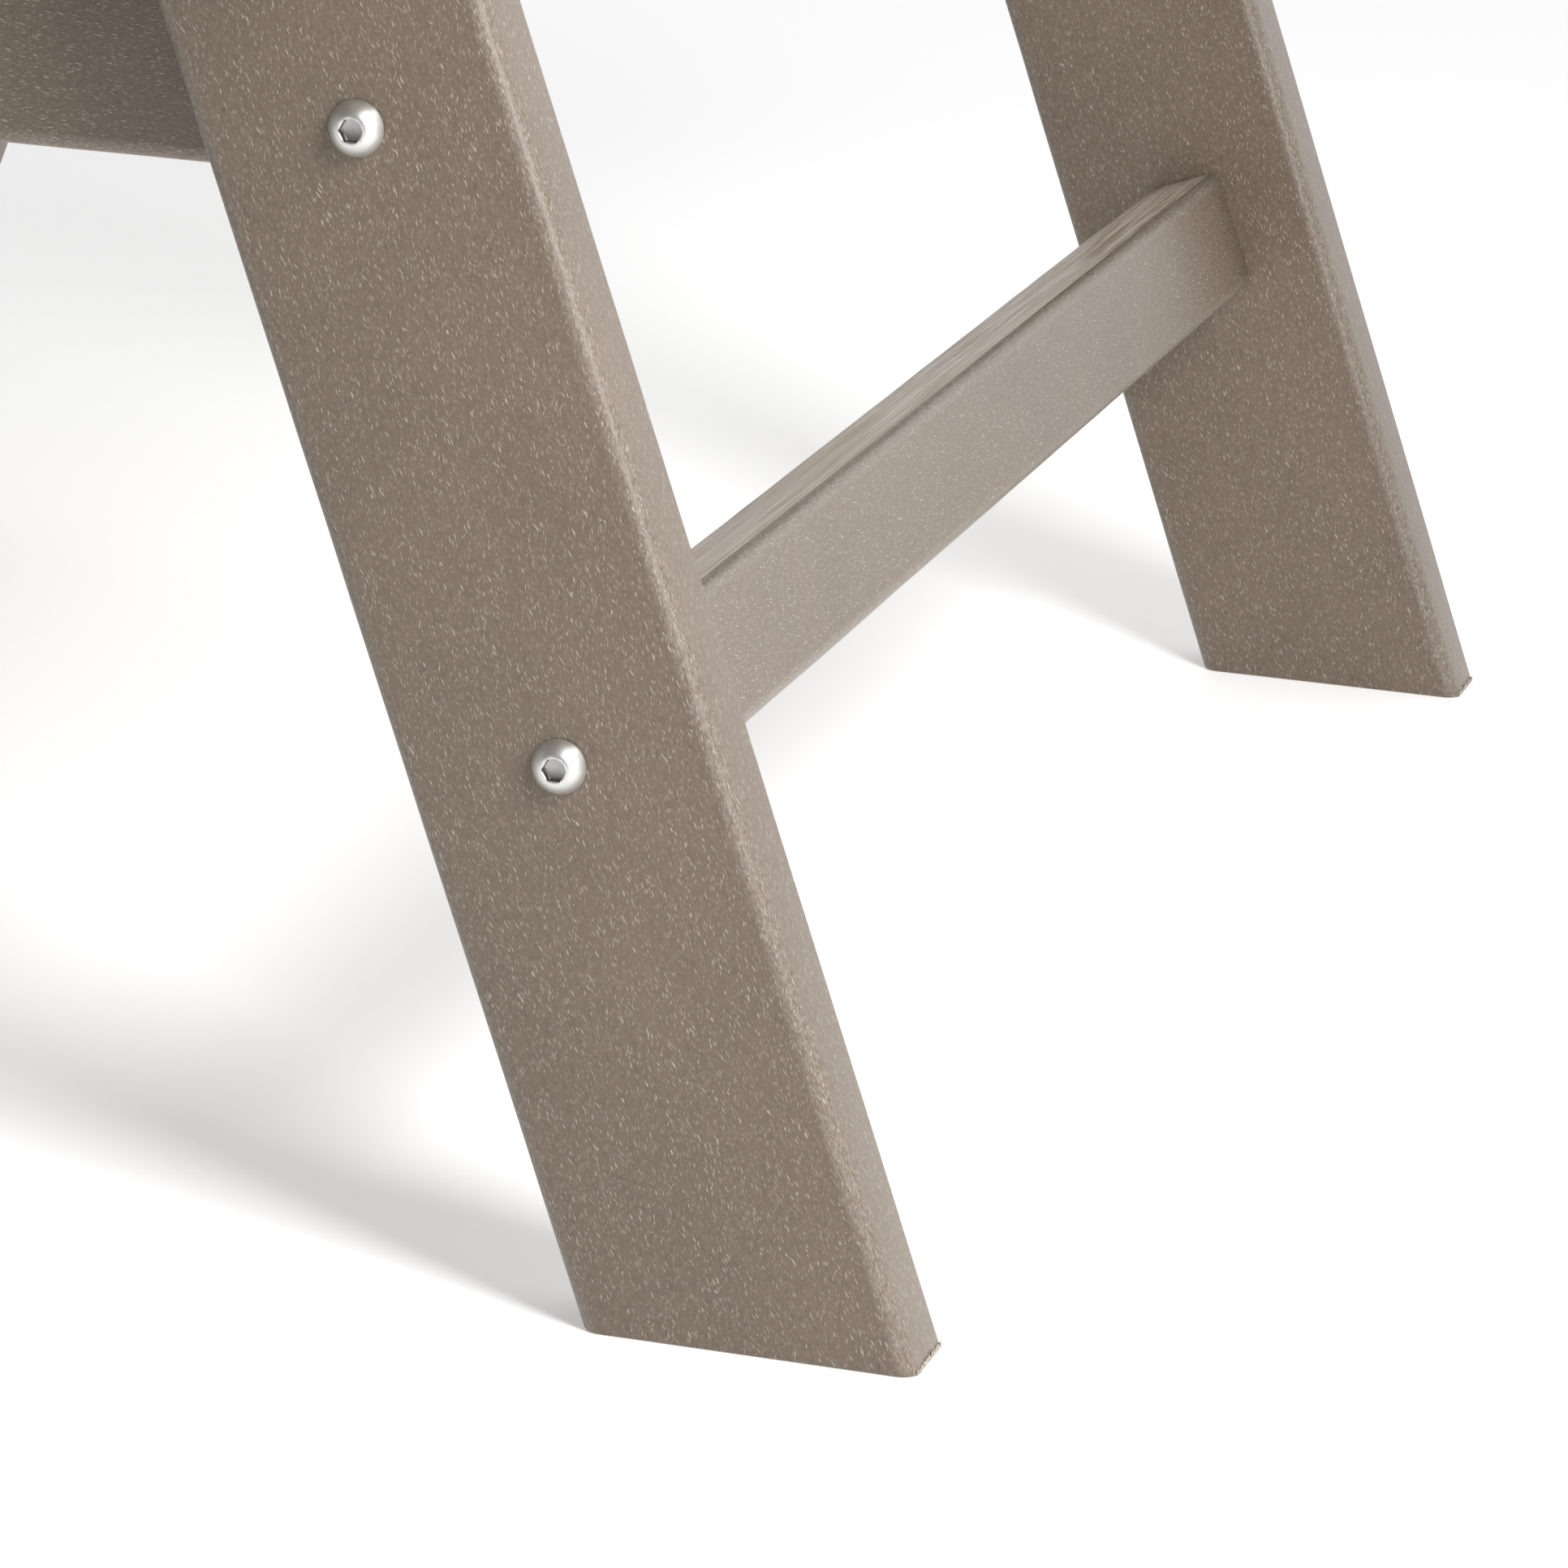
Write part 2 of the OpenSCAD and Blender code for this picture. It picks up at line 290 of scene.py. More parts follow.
def fleck_layer(g, place, cell_length, cell_width, reach, share, seed, turn=0.0):
    """Drawn-out specks along the board: 1 in the middle of a speck, 0 between them."""
    tilted = g.node("ShaderNodeMapping", {}, place, Rotation=(0.0, turn * 0.7, turn))
    cells = (1 / cell_length, 1 / cell_width, 1 / cell_width)
    start = (seed, seed * 1.7, seed * 2.3)
    off_lattice = (0.9 + seed, 0.6 + turn, 0.4 * seed)
    scaled = g.node("ShaderNodeMapping", {}, tilted, Location=start, Rotation=off_lattice, Scale=cells)
    near = g.node("ShaderNodeTexVoronoi", {"feature": "F1"}, scaled, Scale=1.0, Randomness=1.0)
    chance = g.node("ShaderNodeTexVoronoi", {"feature": "F1"}, scaled, out=1, Scale=1.0, Randomness=1.0)
    pick = g.node("ShaderNodeSeparateColor", {}, chance)
    return near.ramp(reach, reach * 0.4) * pick.ramp(1 - share, 1.0)


def bent_grain(g):
    """Board coordinates, with the flow of the moulded plastic let wander a little."""
    place = g.node("ShaderNodeAttribute", {"attribute_name": "grain"}, out=1)
    swirl = g.noise(place, (70.0, 150.0, 150.0), 1.0, out=1)
    centred = g.vector("ADD", swirl, (-0.5, -0.5, -0.5))
    return place, g.vector("ADD", place, g.vector("MULTIPLY", centred, (0.0, 0.004, 0.004)))


def moulded_plastic():
    """The moulded skin: warm grey-brown with short pale flecks along the board."""
    p = props().plastic
    g = Graph("moulded_plastic")
    place, flow = bent_grain(g)
    long, wide = p.fleck_length, p.fleck_width
    edge_sheen = g.node("ShaderNodeAttribute", {"attribute_name": "edge_sheen"}, out=2)
    bright = fleck_layer(g, flow, long, wide, 0.33, 0.60, 3.1, 0.12)
    slant = fleck_layer(g, flow, long * 0.8, wide * 0.85, 0.34, 0.80, 11.7, -0.18)
    dust = fleck_layer(g, flow, long * 0.40, wide * 0.60, 0.45, 0.85, 19.3, 0.05)
    dark = fleck_layer(g, flow, long * 1.2, wide * 1.8, 0.26, 0.14, 27.3)
    mottle = g.noise(flow, (260.0, 560.0, 560.0), 3.0, 0.62)
    cloud = g.noise(place, 16.0, 2.0, 0.5)
    patches = (mottle * 1.3 + cloud * 0.5 - 0.40).clamped()
    body = g.mix(patches, toned(p.base, 0.76), toned(p.base, 1.24))
    body = g.mix((dark * 0.5).clamped(), body, p.dark)
    body = g.mix((dust * 0.26).clamped(), body, p.pale)
    body = g.mix((slant * 0.55 + bright * 0.75).clamped(), body, p.pale)
    # Painted highlight: a paler, speckled band along the rounded long edges stands in for the sheen of a
    # low light; the band is also a little rougher.
    sheen_band = edge_sheen * g.noise(flow, (420.0, 1500.0, 1500.0), 3.0, 0.7).ramp(0.38, 0.66)
    body = g.mix((sheen_band * 0.26).clamped(), body, p.scuffed)
    rough = 0.28 + mottle * 0.12 + slant * 0.04 + sheen_band * 0.1
    drag = g.noise(place, (9.0, 1300.0, 1300.0), 2.0, 0.5)
    grit = g.noise(flow, (480.0, 900.0, 900.0), 2.0, 0.6)
    relief = grit * 0.5 + bright * 0.45 + slant * 0.3 - dark * 0.5 + drag * 0.22
    bump = g.bump(relief, strength=0.35, distance=0.0005)
    return g.finish(Base_Color=body, Roughness=rough, Normal=bump, IOR=1.5)


def planed_and_sheen_plastic():
    """A planed face drawn out in fine scratches along the board, paler partly as the cut face's own
    colour and partly as painted sheen and painted light.
    """
    p = props().plastic
    g = Graph("planed_and_sheen_plastic")
    place, flow = bent_grain(g)
    streaks = g.noise(place, (14.0, 620.0, 620.0), 3.0, 0.65)
    broad = g.noise(place, (7.0, 230.0, 230.0), 2.0, 0.5)
    pits = fleck_layer(g, flow, p.fleck_length, p.fleck_width * 1.4, 0.3, 0.2, 7.7)
    # The paler colour and streaks are partly the cut face's own colour and partly painted sheen and
    # painted light on the top.
    pale = (streaks.ramp(0.40, 0.60) * 0.85 + broad.ramp(0.30, 0.70) * 0.5 - 0.10).clamped()
    scratch_glint = g.noise(place, (6.0, 1100.0, 1100.0), 2.0, 0.5).ramp(0.55, 0.63)
    body = g.mix(pale, toned(p.base, 2.2), p.planed)
    # Painted glints along the finest scratches.
    body = g.mix(scratch_glint * 0.5, body, toned(p.planed, 1.5))
    body = g.mix((pits * 0.5).clamped(), body, p.dark)
    bump = g.bump(streaks + broad * 0.5, strength=0.4, distance=0.0003)
    rough = 0.34 + streaks.ramp(0.40, 0.60) * 0.36
    # The face's own sheen is turned down here; its light is painted into the paler colour above.
    return g.finish(Base_Color=body, Roughness=rough, Normal=bump, IOR=1.5, Specular_IOR_Level=0.38)


def sawn_plastic():
    """A sawn face: the same plastic cut open, drier, with the blade's lines across it."""
    p = props().plastic
    g = Graph("sawn_plastic")
    place, _ = bent_grain(g)
    fine = fleck_layer(g, place, p.fleck_width, p.fleck_width, 0.36, 0.5, 5.9)
    pores = fleck_layer(g, place, 4 * MM, 4 * MM, 0.28, 0.22, 17.9)
    mottle = g.noise(place, 420.0, 3.0, 0.6)
    lines = g.noise(place, (900.0, 900.0, 12.0), 2.0, 0.5)
    patches = (mottle * 0.8 + lines * 0.5 - 0.15).clamped()
    body = g.mix(patches, toned(p.base, 0.82), toned(p.base, 1.38))
    body = g.mix((pores * 0.6).clamped(), body, p.dark)
    body = g.mix((fine * 0.35).clamped(), body, p.pale)
    relief = lines * 1.0 + mottle * 0.4 - pores * 0.8
    bump = g.bump(relief, strength=0.55, distance=0.0006)
    return g.finish(Base_Color=body, Roughness=0.5 + mottle * 0.2, Normal=bump, IOR=1.5)


def frayed_plastic():
    """The pale lip of plastic that a saw leaves."""
    p = props().plastic
    g = Graph("frayed_plastic")
    place = g.node("ShaderNodeAttribute", {"attribute_name": "grain"}, out=1)
    tone = g.noise(place, 900.0, 3.0, 0.6)
    body = g.mix(tone.ramp(0.35, 0.65), toned(p.base, 2.0), p.scuffed)
    bump = g.bump(tone, strength=0.5, distance=0.0004)
    return g.finish(Base_Color=body, Roughness=0.6 + tone * 0.2, Normal=bump, IOR=1.5)


def stainless():
    """Polished stainless steel, faintly smeared."""
    g = Graph("stainless")
    place = g.object_place()
    smear = g.noise(place, 160.0, 3.0, 0.6)
    fine = g.noise(place, 2600.0, 2.0, 0.5)
    body = g.mix(smear, (0.50, 0.495, 0.485), (0.62, 0.615, 0.605))
    bump = g.bump(fine, strength=0.06, distance=0.0001)
    return g.finish(Base_Color=body, Metallic=1.0, Roughness=0.03 + smear * 0.06, Normal=bump)


def socket_oxide_and_shade():
    """The duller, darker steel inside a pressed socket: partly oxide, partly painted shade in the recess.
    """
    g = Graph("socket_oxide_and_shade")
    place = g.object_place()
    smear = g.noise(place, 700.0, 3.0, 0.6)
    body = g.mix(smear, (0.26, 0.255, 0.25), (0.48, 0.475, 0.465))
    return g.finish(Base_Color=body, Metallic=1.0, Roughness=0.22 + smear * 0.16)


def nylon():
    """The locking ring in a nut."""
    g = Graph("nylon")
    place = g.object_place()
    speck = g.noise(place, 900.0, 2.0, 0.5)
    body = g.mix(speck, (0.55, 0.58, 0.62), (0.68, 0.70, 0.72))
    return g.finish(Base_Color=body, Roughness=0.4 + speck * 0.1)


def white_floor():
    """Plain pale studio floor."""
    g = Graph("studio_floor")
    place = g.object_place()
    tone = g.noise(place, 1.5, 2.0)
    pale = g.mix(tone, (0.93, 0.93, 0.93), (0.95, 0.95, 0.95))
    glow = props().stage.floor_glow
    white = (1, 1, 1, 1)
    return g.finish(Base_Color=pale, Roughness=0.7, Emission_Color=white, Emission_Strength=glow)


def material(maker):
    """The material that a maker gives, made once."""
    found = bpy.data.materials.get(maker.__name__)
    return found or maker()


# ---------------------------------------------------------------- modelling helpers


def only(obj):
    """Selects one object and makes it active."""
    bpy.ops.object.select_all(action="DESELECT")
    obj.select_set(True)
    bpy.context.view_layer.objects.active = obj


def edit(obj, elements="EDGE", action="DESELECT"):
    """Enters edit mode with nothing or everything selected and returns the mesh."""
    only(obj)
    bpy.ops.object.mode_set(mode="EDIT")
    bpy.ops.mesh.select_mode(type=elements)
    bpy.ops.mesh.select_all(action=action)
    return bmesh.from_edit_mesh(obj.data)


def leave(obj):
    bpy.ops.object.mode_set(mode="OBJECT")
    return obj


def pick(mesh, elements, test):
    """Selects the edges or faces of an edit mesh that pass a test."""
    for item in elements:
        item.select_set(test(item))
    mesh.select_flush_mode()


def primitive(kind, name, **sizes):
    """Adds a primitive of a kind at the origin, names it and applies its scale."""
    bpy.ops.object.select_all(action="DESELECT")
    getattr(bpy.ops.mesh, f"primitive_{kind}_add")(**sizes)
    obj = bpy.context.active_object
    obj.name = name
    bpy.ops.object.transform_apply(location=False, rotation=True, scale=True)
    return obj


def with_modifier(obj, kind, **settings):
    """Adds a modifier and applies it."""
    only(obj)
    mod = obj.modifiers.new(kind.lower(), kind)
    for key, value in settings.items():
        setattr(mod, key, value)
    bpy.ops.object.modifier_apply(modifier=mod.name)
    return obj


def joined(parts, name):
    """One object from several."""
    bpy.ops.object.select_all(action="DESELECT")
    for part in parts:
        part.select_set(True)
    bpy.context.view_layer.objects.active = parts[0]
    bpy.ops.object.join()
    parts[0].name = name
    return parts[0]


def copy_at(source, name, matrix):
    """A copy with its own mesh, moved by a matrix."""
    obj = source.copy()
    obj.data = source.data.copy()
    bpy.context.scene.collection.objects.link(obj)
    obj.name = name
    obj.data.transform(matrix)
    return obj


def lift(obj, height):
    """Moves a mesh up."""
    obj.data.transform(Matrix.Translation((0, 0, height)))


def spin(obj, degrees, axis="Z"):
    """Turns a mesh about an axis."""
    obj.data.transform(Matrix.Rotation(math.radians(degrees), 4, axis))


def dress(obj, *makers):
    """Gives an object its materials, in order."""
    for maker in makers:
        obj.data.materials.append(material(maker))


def carve(obj, cutter, operation="DIFFERENCE"):
    """Cuts one object with another, which is used up."""
    with_modifier(obj, "BOOLEAN", operation=operation, solver="EXACT", object=cutter)
    bpy.data.objects.remove(cutter)
    return obj


def bored(obj, steps, radius, depth):
    """Bores a solid along z, through the middle."""
    return carve(obj, primitive("cylinder", "bore", vertices=steps, radius=radius, depth=depth))


def eased_edges(obj, width, degrees=35):
    """Breaks the edges that are sharper than an angle."""
    limit = {"limit_method": "ANGLE", "angle_limit": math.radians(degrees)}
    return with_modifier(obj, "BEVEL", width=width, segments=2, **limit)


def smooth(obj, degrees=32):
    only(obj)
    bpy.ops.object.shade_smooth_by_angle(angle=math.radians(degrees))
    return obj


def axes(x_axis, y_axis, origin):
    """Matrix that takes local x and y to these directions at this place."""
    m = Matrix((x_axis, y_axis, x_axis.cross(y_axis))).transposed().to_4x4()
    m.translation = origin
    return m


def stand_in(obj, node):
    """Lets a finished piece replace its CAD node and ride on the table."""
    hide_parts(node)
    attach(obj, "root")
    return obj


def solids_of(node):
    """Boxes of the separate solids in one CAD node."""
    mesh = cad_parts[node].data
    parent = {}

    def key(co):
        return tuple(round(c, 5) for c in co)

    def root(k):
        while parent[k] != k:
            parent[k] = parent[parent[k]]
            k = parent[k]
        return k

    for polygon in mesh.polygons:
        keys = [key(mesh.vertices[v].co) for v in polygon.vertices]
        for k in keys:
            parent.setdefault(k, k)
        for k in keys[1:]:
            parent[root(k)] = root(keys[0])
    groups = {}
    for k in parent:
        groups.setdefault(root(k), []).append(k)
    boxes = [
        (Vector(min(k[i] for k in g) for i in range(3)), Vector(max(k[i] for k in g) for i in range(3)))
        for g in groups.values()
    ]
    return sorted(boxes, key=lambda b: tuple(round(c, 4) for c in b[0]))


# ---------------------------------------------------------------- boards

ROUND_STEPS = 7  # segments of a rounded edge
RING_SPACING = 0.03  # between the rings of points along a board
DIP_SIZE = 0.045  # of the shallow dips in the moulded skin
SHEEN_GAIN = 2.8  # how fast the painted highlight grows towards the middle of a rounded edge
LOOKS_SAWN, LOOKS_PLANED = 0.93, 0.97  # how squarely a face looks the way it was cut


def blank_board(node, length, width, thick):
    """A moulded board with rounded long edges: along x, width along y, thickness along z."""
    obj = primitive("cube", f"{node}_board", size=1.0, scale=(length, width, thick))
    mesh = edit(obj)
    pick(mesh, mesh.edges, along_x)
    radius = props().boards.edge_radius
    bpy.ops.mesh.bevel(offset=radius, segments=ROUND_STEPS, affect="EDGES", profile=0.5)
    bpy.ops.mesh.select_all(action="DESELECT")
    pick(mesh, bmesh.from_edit_mesh(obj.data).edges, along_x)
    bpy.ops.mesh.subdivide(number_cuts=int(length / RING_SPACING))
    return leave(obj)


def along_x(e):
    """True for an edge that runs along a board."""
    d = e.verts[1].co - e.verts[0].co
    return abs(d.x) > 0.9 * d.length and d.length > 1e-4


def saw(obj, point, normal):
    """Cuts a board off at a plane, on the side the normal points to."""
    edit(obj, "FACE", "SELECT")
    keep = {"use_fill": True, "clear_outer": True, "threshold": 1e-6}
    bpy.ops.mesh.bisect(plane_co=point, plane_no=normal, **keep)
    return leave(obj)


def countersink(place, direction, depth):
    """Cutter for a countersunk screw whose head faces against the direction."""
    f = props().fasteners
    play = 0.2 * MM
    top, low = (f.screw_head_d + play) / 2, (f.screw_d + play) / 2
    above, cone_low = 1.4 * MM, low - top - f.screw_sink
    outline = [(top, above), (top, -f.screw_sink), (low, cone_low), (low, -depth)]
    tool = lathe("countersink", outline, 40)
    turn = (-Vector(direction)).to_track_quat("Z", "Y").to_matrix().to_4x4()
    tool.data.transform(Matrix.Translation(place) @ turn)
    return tool


def rounding(place, size, radius):
    """How far round a long edge a point lies: 0 on the flats, 1 half way round."""
    over = [max(0.0, abs(place[i]) - size[i] / 2 + radius) for i in (1, 2)]
    return min(1.0, SHEEN_GAIN * over[0] * over[1] / radius ** 2)


def mark(mesh, edge_sheen, grain):
    """Stores the share of painted highlight round the long edges and the place in the grain on the points
    of a mesh.
    """
    flat = [c for place in grain for c in place]
    mesh.attributes.new("edge_sheen", "FLOAT", "POINT").data.foreach_set("value", edge_sheen)
    mesh.attributes.new("grain", "FLOAT_VECTOR", "POINT").data.foreach_set("vector", flat)


def finish_board(obj, node, placing, index, sawn_planes, planed_side=NOWHERE):
    """Breaks the cut edges, lets the skin wander, marks the grain and puts the board in its place."""
    b = props().boards
    eased_edges(obj, b.eased)
    clouds = bpy.data.textures.get("wander") or bpy.data.textures.new("wander", "CLOUDS")
    clouds.noise_scale = DIP_SIZE
    edge_sheen = [rounding(vertex.co, obj.dimensions, b.edge_radius) for vertex in obj.data.vertices]
    inwards = {"mid_level": 1.0, "texture_coords": "LOCAL"}
    with_modifier(obj, "DISPLACE", texture=clouds, strength=b.wander, **inwards)
    mesh = obj.data
    mark(mesh, edge_sheen, [vertex.co + grain_of(index) for vertex in mesh.vertices])
    dress(obj, moulded_plastic, sawn_plastic, planed_and_sheen_plastic)
    for face in mesh.polygons:
        sawn = any(face.normal.dot(n) > LOOKS_SAWN for n in sawn_planes)
        # Faces on the planed side get the planed material with its painted sheen.
        planed = face.normal.dot(planed_side) > LOOKS_PLANED
        face.material_index = 1 if sawn else 2 if planed else 0
    smooth(obj)
    mesh.transform(placing)
    bpy.data.textures.remove(clouds)
    return stand_in(obj, node)


def drilled(obj, node, placing):
    """Sinks the seats of the screws whose heads lie in this board."""
    back = placing.inverted()
    for place, direction in screws_into(node):
        carve(obj, countersink(back @ place, back.to_3x3() @ direction, size_of(node).length))
    return obj


def grain_of(index):
    """Where in the endless pattern a board's own grain starts."""
    return Vector((1.37 * index, 0.61 * index, 0.29 * index))


def leg_axes(side):
    """Directions up a leg, across it outwards, and along the table."""
    lean = props().boards.lean
    up = Vector((-math.sin(lean) * side, 0, math.cos(lean)))
    out = Vector((math.cos(lean) * side, 0, math.sin(lean)))
    return up, out


def saw_burr(length, height, seed):
    """A ragged lip that the saw left, along x and standing up from y = 0, thin along z."""
    chance = random.Random(seed)
    lip = primitive("grid", "burr", x_subdivisions=46, y_subdivisions=2, size=1.0)
    for vertex in lip.data.vertices:
        top = vertex.co.y > 0.4
        ragged = height * (0.30 + 0.70 * chance.random()) if top else height * (vertex.co.y + 0.5)
        if vertex.co.y < -0.4:
            ragged = height * 0.45 * chance.random() ** 2
        along = vertex.co.x * length + 0.1 * height * chance.random()
        vertex.co = (along, ragged, 0.16 * height * (chance.random() - 0.5))
    return with_modifier(lip, "SOLIDIFY", thickness=0.15 * height, offset=0.0)


def make_leg(side_name, end_name, index):
    """A leg: a full board, both ends sawn level."""
    node = f"leg_{end_name}_{side_name}"
    b = props().boards
    side = SIDE[side_name]
    up, out = leg_axes(side)
    width, thick = size_of("plank_1").x, size_of("plank_1").z
    low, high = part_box(node)
    outer = high.x if side > 0 else low.x
    rise = high.z - low.z
    middle_x = outer - side * (width / 2 / math.cos(b.lean) + rise / 2 * math.tan(b.lean))
    centre = Vector((middle_x, (low.y + high.y) / 2, low.z + rise / 2))
    length = rise / math.cos(b.lean) + 2 * width * math.tan(b.lean)
    obj = blank_board(node, length, width, thick)
    placing = axes(up, out, centre)
    back = placing.inverted()
    level = back.to_3x3() @ UP
    for z, normal in ((high.z, level), (low.z, -level)):
        saw(obj, back @ Vector((centre.x, centre.y, z)), normal)
    leg = finish_board(obj, node, placing, index, [level, -level])
    height = 3.0 * MM
    fringe = saw_burr(thick - 1.2 * b.edge_radius, height, index)
    corner = Vector((outer - side * 0.24 * height, centre.y, low.z + 0.1 * MM))
    fringe.data.transform(axes(ALONG * side, UP, corner))
    grain = [(vertex.co.y, vertex.co.z, vertex.co.x) for vertex in fringe.data.vertices]
    mark(fringe.data, [1.0] * len(grain), grain)
    dress(fringe, frayed_plastic)
    joined([leg, fringe], leg.name)
    return leg


def make_cross_board(end_name, index):
    """A cross board on edge, its ends sawn to the lean of the legs."""
    node = f"cross_board_{end_name}"
    low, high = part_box(node)
    size = high - low
    obj = blank_board(node, size.x + size.z, size.z, size.y)
    placing = axes(ACROSS, UP, (low + high) / 2)
    back = placing.inverted()
    normals = []
    for side, edge_x in ((-1, low.x), (1, high.x)):
        _, out = leg_axes(side)
        normal = back.to_3x3() @ out
        saw(obj, back @ Vector((edge_x, 0, low.z)), normal)
        normals.append(normal)
    drilled(obj, node, placing)
    return finish_board(obj, node, placing, index, normals)


def make_stretcher(side_name, index):
    """A stretcher: a rail turned to the slant of the legs."""
    node = f"stretcher_{side_name}"
    up, out = leg_axes(SIDE[side_name])
    low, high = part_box(node)
    rail_w, thick = size_of("top_batten_centre").z, size_of("plank_1").z
    obj = blank_board(node, high.y - low.y, rail_w, thick)
    placing = axes(ALONG, up, (low + high) / 2)
    back = placing.inverted()
    hole_r = props().fasteners.barrel_d / 2 + 0.1 * MM
    for box in solids_of("barrel_nuts"):
        centre = (box[0] + box[1]) / 2
        if centre.x * SIDE[side_name] > 0:
            hole = primitive("cylinder", "hole", vertices=48, radius=hole_r, depth=thick)
            inward = back.to_3x3() @ -out
            turn = inward.to_track_quat("Z", "Y").to_matrix().to_4x4()
            hole.data.transform(Matrix.Translation(back @ centre + inward * 4 * MM) @ turn)
            carve(obj, hole)
    return finish_board(obj, node, placing, index, [ACROSS, -ACROSS], ALONG)


def make_batten(name, index):
    """A batten: a rail across the table, its ends bevelled underneath."""
    node = f"top_batten_{name}"
    b = props().boards
    size = size_of(node)
    obj = blank_board(node, size.x, size.z, size.y)
    placing = axes(ACROSS, UP, middle_of(node))
    for side in (-1, 1):
        corner = Vector((side * (size.x / 2 - b.batten_bevel), -size.z / 2, 0))
        saw(obj, corner, Vector((side, -1, 0)).normalized())
    slants = [Vector((s, -1, 0)).normalized() for s in (-1, 1)]
    if name == "centre":
        drilled(obj, node, placing)
    return finish_board(obj, node, placing, index, [ACROSS, -ACROSS] + slants)


def make_brace(end_name, index):
    """A brace: a rail laid flat, both ends sawn upright."""
    node = f"brace_{end_name}"
    low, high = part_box(node)
    rail_w, thick = size_of("top_batten_centre").z, size_of("plank_1").z
    inwards = -SIDE[end_name]
    run_y = high.y - low.y
    # Upright cut height t / cos(a) and rise run * tan(a) add up to the height of the box
    slope = math.atan2(high.z - low.z - thick, run_y)
    for _ in range(20):
        slope = math.atan2(high.z - low.z - thick / math.cos(slope), run_y)
    run = Vector((0, inwards * math.cos(slope), math.sin(slope)))
    length = run_y / math.cos(slope) + 2 * thick
    obj = blank_board(node, length, rail_w, thick)
    wide = ACROSS * -inwards
    placing = axes(run, wide, (low + high) / 2)
    back = placing.inverted()
    cuts = [(low.y, -ALONG), (high.y, ALONG)]
    for y, normal in cuts:
        saw(obj, back @ Vector((0, y, (low.z + high.z) / 2)), back.to_3x3() @ normal)
    sawn = [back.to_3x3() @ n for _, n in cuts]
    return finish_board(obj, node, placing, index, sawn)


def make_plank(node, index):
    """A deck plank with the seats of its screws."""
    size = size_of(node)
    obj = blank_board(node, size.y, size.x, size.z)
    placing = axes(ALONG, -ACROSS, middle_of(node))
    drilled(obj, node, placing)
    return finish_board(obj, node, placing, index, [ACROSS, -ACROSS])


def all_screws():
    """(node, place of the head's top, direction) of every screw in the row frame."""
    found = []
    sink = props().fasteners.screw_sink
    for part in ("near", "centre", "far"):
        node = f"deck_screws_{part}"
        for low, high in solids_of(node):
            found.append((node, Vector(((low.x + high.x) / 2, (low.y + high.y) / 2, high.z + sink)), -UP))
    centre_y = middle_of("top_batten_centre").y
    for low, high in solids_of("brace_screws"):
        x, z = (low.x + high.x) / 2, (low.z + high.z) / 2
        outer = abs(low.y - centre_y) > 0.2
        side = 1 if low.y + high.y > 0 else -1
        head_high = side > 0 if outer else abs(high.y) < abs(low.y)
        y = high.y + sink if head_high else low.y - sink
        found.append(("brace_screws", Vector((x, y, z)), ALONG * (-1 if head_high else 1)))
    return found


def screws_into(node):
    """(place, direction) of the screws whose heads lie in a node, in the row frame."""
    low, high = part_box(node)
    return [
        (place, direction)
        for _, place, direction in all_screws()
        if all(low[i] - MM <= place[i] <= high[i] + MM for i in range(3))
    ]


# ---------------------------------------------------------------- fasteners

HALF_HEX = 30  # degrees from a hexagon's corner to the middle of its flat
BORE_PLAY = 0.05 * MM


def hex_corner(across_flats):
    """Distance of a hexagon's corners from its middle."""
    return across_flats / 2 / math.cos(math.radians(HALF_HEX))


def lathe(name, outline, steps=48):
    """A turned solid about z from (radius, height) points that start and end on the axis side."""
    first_r, first_z = outline[0]
    obj = primitive("circle", name, vertices=steps, radius=first_r, fill_type="NGON")
    lift(obj, first_z)
    edit(obj, "FACE", "SELECT")
    radius, height = first_r, first_z
    for r, z in outline[1:]:
        bpy.ops.mesh.extrude_region_move(TRANSFORM_OT_translate={"value": (0, 0, z - height)})
        bpy.ops.transform.resize(value=(r / radius, r / radius, 1), center_override=(0, 0, z))
        radius, height = r, z
    bpy.ops.mesh.select_all(action="SELECT")
    bpy.ops.mesh.normals_make_consistent(inside=False)
    return leave(obj)


def dome_outline():
    """Half outline of the domed head from its seat to its flat top."""
    f = props().fasteners
    r0, r1, h = f.head_d / 2, f.flat_d / 2, f.head_h
    drop = (r0 ** 2 - r1 ** 2 - h ** 2) / (2 * h)
    ball = math.hypot(r0, drop)
    start, stop = math.atan2(drop, r0), math.atan2(drop + h, r1)
    count = 12
    arc = [start + (stop - start) * i / count for i in range(count + 1)]
    rim = 0.35 * MM
    return [(r0 - rim, 0.0), (r0 - 0.1 * MM, rim * 0.35)] + [
        (ball * math.cos(a), ball * math.sin(a) - drop) for a in arc[1:]
    ]


